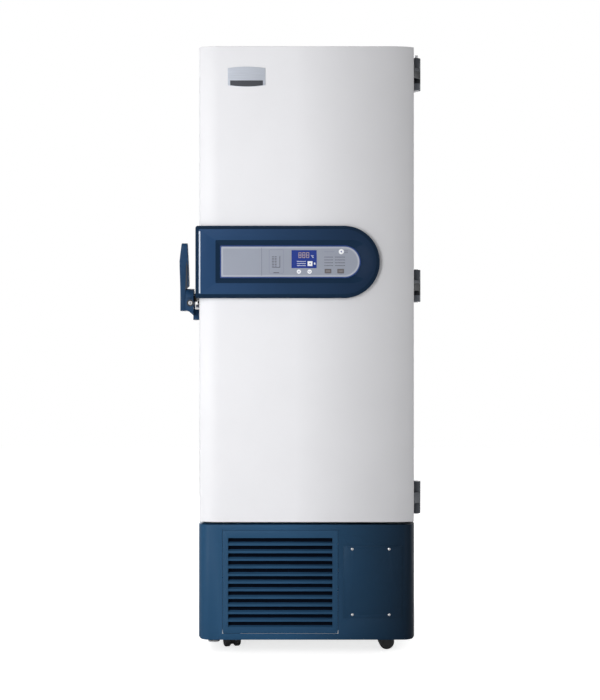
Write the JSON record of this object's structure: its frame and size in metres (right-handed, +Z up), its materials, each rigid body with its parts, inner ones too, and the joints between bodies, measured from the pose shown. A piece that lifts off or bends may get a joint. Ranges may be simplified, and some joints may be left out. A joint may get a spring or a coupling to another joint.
{
  "type": "ultra low temperature freezer",
  "caption": "Upright ultra low temperature freezer with a side latch, a console on the insulated door, inner doors, and a louvred machine base on casters.",
  "frame": {"origin": "middle of the overall footprint, on the floor that the casters stand on", "axes": "+Z up, -Y out of the front of the door, +X towards the hinge side"},
  "size_m": [0.794, 0.875, 1.98],
  "materials": {
    "white_paint": "satin powder coat",
    "blue_paint": "satin powder coat",
    "blue_plastic": "fine satin moulding",
    "handle_plastic": "satin moulding",
    "panel_silver": "satin printed film",
    "display": "gloss lens",
    "button_white": "satin",
    "key_dark": "satin",
    "circuit_board": "solder mask",
    "insulation": "rigid foam",
    "liner_steel": "brushed",
    "white_plastic": "moulded",
    "gasket_rubber": "matt",
    "copper": "drawn",
    "dark_metal": "satin",
    "bright_steel": "polished",
    "black_steel": "gloss enamel",
    "galvanised": "galvanised",
    "coil_aluminium": "mill",
    "filter_mat": "open foam",
    "black_plastic": "moulded",
    "box_paint": "satin"
  },
  "bodies": {
    "cabinet": {"outer_case": "white_paint", "rear_panel": "white_paint", "insulation_foam": "insulation", "inner_liner": "liner_steel", "breaker_strips": "white_plastic", "evaporator_coil": "copper", "access_port_sleeve": "white_plastic", "shelf_pilasters": "liner_steel", "shelves": "liner_steel", "inner_frame": "white_plastic", "inner_gaskets": "gasket_rubber", "hinge_brackets": "dark_metal", "hinge_pins": "bright_steel", "striker_bracket": "bright_steel", "base_frame": "galvanised", "base_side_panels": "blue_paint", "base_front_panel": "blue_paint", "access_plate": "blue_paint", "access_screws": "bright_steel", "rear_grille": "blue_paint", "cord_gland": "black_plastic", "air_filter": "filter_mat", "condenser": "coil_aluminium", "fan_shroud": "black_plastic", "compressors": "black_steel", "electrical_box": "box_paint", "refrigerant_lines": "copper"},
    "door": {"door_outer_panel": "white_paint", "door_foam": "insulation", "door_liner": "white_plastic", "door_gasket": "gasket_rubber", "console_housing": "blue_plastic", "console_panel": "panel_silver", "display_window": "display", "control_board": "circuit_board", "handle_bracket": "handle_plastic", "door_hinge_leaves": "dark_metal"},
    "handle": {"handle_lever": "handle_plastic", "latch_hook": "bright_steel"},
    "lock": {"lock_cylinder": "bright_steel"},
    "button_up": {"button_up": "button_white"},
    "button_down": {"button_down": "button_white"},
    "button_mute": {"button_mute": "button_white"},
    "button_set": {"button_set": "button_white"},
    "key_left": {"key_left": "key_dark"},
    "key_right": {"key_right": "key_dark"},
    "inner_door_lower": {"inner_door_lower": "white_plastic"},
    "inner_door_upper": {"inner_door_upper": "white_plastic"},
    "grille": {"front_grille": "blue_plastic"},
    "fan": {"fan_blades": "black_plastic"},
    "caster_fork_front_left": {"caster_fork_front_left": "black_plastic"},
    "caster_wheels_front_left": {"caster_wheels_front_left": "black_plastic"},
    "caster_fork_front_right": {"caster_fork_front_right": "black_plastic"},
    "caster_wheels_front_right": {"caster_wheels_front_right": "black_plastic"},
    "caster_fork_rear_left": {"caster_fork_rear_left": "black_plastic"},
    "caster_wheels_rear_left": {"caster_wheels_rear_left": "black_plastic"},
    "caster_fork_rear_right": {"caster_fork_rear_right": "black_plastic"},
    "caster_wheels_rear_right": {"caster_wheels_rear_right": "black_plastic"},
    "levelling_foot_left": {"levelling_foot_left": "bright_steel"},
    "levelling_foot_right": {"levelling_foot_right": "bright_steel"}
  },
  "joints": [
    {"name": "door_swing", "type": "hinge", "parent": "cabinet", "child": "door", "pos_m": [0.383, -0.3115, 1.207], "axis": [0, 0, 1], "range_deg": [0, 110]},
    {"name": "handle_turn", "type": "hinge", "parent": "door", "child": "handle", "pos_m": [-0.366, -0.369, 1.165], "axis": [1, 0, 0], "range_deg": [-10, 60]},
    {"name": "lock_turn", "type": "hinge", "parent": "door", "child": "lock", "pos_m": [-0.3625, -0.394, 1.146], "axis": [0, 1, 0], "range_deg": [0, 90]},
    {"name": "inner_door_lower_swing", "type": "hinge", "parent": "cabinet", "child": "inner_door_lower", "pos_m": [0.236, -0.253, 1.207], "axis": [0, 0, 1], "range_deg": [0, 90]},
    {"name": "inner_door_upper_swing", "type": "hinge", "parent": "cabinet", "child": "inner_door_upper", "pos_m": [0.236, -0.253, 1.207], "axis": [0, 0, 1], "range_deg": [0, 90]},
    {"name": "button_up_press", "type": "slide", "parent": "door", "child": "button_up", "axis": [0, 1, 0], "range_m": [0, 0.001], "stiffness_N_per_m": 300},
    {"name": "button_down_press", "type": "slide", "parent": "door", "child": "button_down", "axis": [0, 1, 0], "range_m": [0, 0.001], "stiffness_N_per_m": 300},
    {"name": "button_mute_press", "type": "slide", "parent": "door", "child": "button_mute", "axis": [0, 1, 0], "range_m": [0, 0.001], "stiffness_N_per_m": 300},
    {"name": "button_set_press", "type": "slide", "parent": "door", "child": "button_set", "axis": [0, 1, 0], "range_m": [0, 0.001], "stiffness_N_per_m": 300},
    {"name": "key_left_press", "type": "slide", "parent": "door", "child": "key_left", "axis": [0, 1, 0], "range_m": [0, 0.001], "stiffness_N_per_m": 300},
    {"name": "key_right_press", "type": "slide", "parent": "door", "child": "key_right", "axis": [0, 1, 0], "range_m": [0, 0.001], "stiffness_N_per_m": 300},
    {"name": "grille_pull", "type": "slide", "parent": "cabinet", "child": "grille", "axis": [0, -1, 0], "range_m": [0, 0.06]},
    {"name": "fan_spin", "type": "hinge", "parent": "cabinet", "child": "fan", "pos_m": [-0.069, -0.322, 0.2435], "axis": [0, 1, 0], "continuous": true},
    {"name": "caster_front_left_swivel", "type": "hinge", "parent": "cabinet", "child": "caster_fork_front_left", "pos_m": [-0.229, -0.314, 0.06], "axis": [0, 0, 1], "continuous": true},
    {"name": "caster_front_left_roll", "type": "hinge", "parent": "caster_fork_front_left", "child": "caster_wheels_front_left", "pos_m": [-0.23384, -0.29459, 0.025], "axis": [-0.9703, -0.2419, 0], "continuous": true},
    {"name": "caster_front_right_swivel", "type": "hinge", "parent": "cabinet", "child": "caster_fork_front_right", "pos_m": [0.261, -0.314, 0.06], "axis": [0, 0, 1], "continuous": true},
    {"name": "caster_front_right_roll", "type": "hinge", "parent": "caster_fork_front_right", "child": "caster_wheels_front_right", "pos_m": [0.28095, -0.31261, 0.025], "axis": [-0.0698, 0.9976, 0], "continuous": true},
    {"name": "caster_rear_left_swivel", "type": "hinge", "parent": "cabinet", "child": "caster_fork_rear_left", "pos_m": [-0.229, 0.341, 0.06], "axis": [0, 0, 1], "continuous": true},
    {"name": "caster_rear_left_roll", "type": "hinge", "parent": "caster_fork_rear_left", "child": "caster_wheels_rear_left", "pos_m": [-0.23584, 0.35979, 0.025], "axis": [-0.9397, -0.342, 0], "continuous": true},
    {"name": "caster_rear_right_swivel", "type": "hinge", "parent": "cabinet", "child": "caster_fork_rear_right", "pos_m": [0.261, 0.341, 0.06], "axis": [0, 0, 1], "continuous": true},
    {"name": "caster_rear_right_roll", "type": "hinge", "parent": "caster_fork_rear_right", "child": "caster_wheels_rear_right", "pos_m": [0.26618, 0.36032, 0.025], "axis": [-0.9659, 0.2588, 0], "continuous": true},
    {"name": "levelling_left_screw", "type": "slide", "parent": "cabinet", "child": "levelling_foot_left", "axis": [0, 0, -1], "range_m": [0, 0.032]},
    {"name": "levelling_right_screw", "type": "slide", "parent": "cabinet", "child": "levelling_foot_right", "axis": [0, 0, -1], "range_m": [0, 0.032]}
  ],
  "couplings": [
    {"joint": "inner_door_lower_swing", "follows": "door_swing", "ratio": 0.8181},
    {"joint": "inner_door_upper_swing", "follows": "door_swing", "ratio": 0.8181}
  ]
}
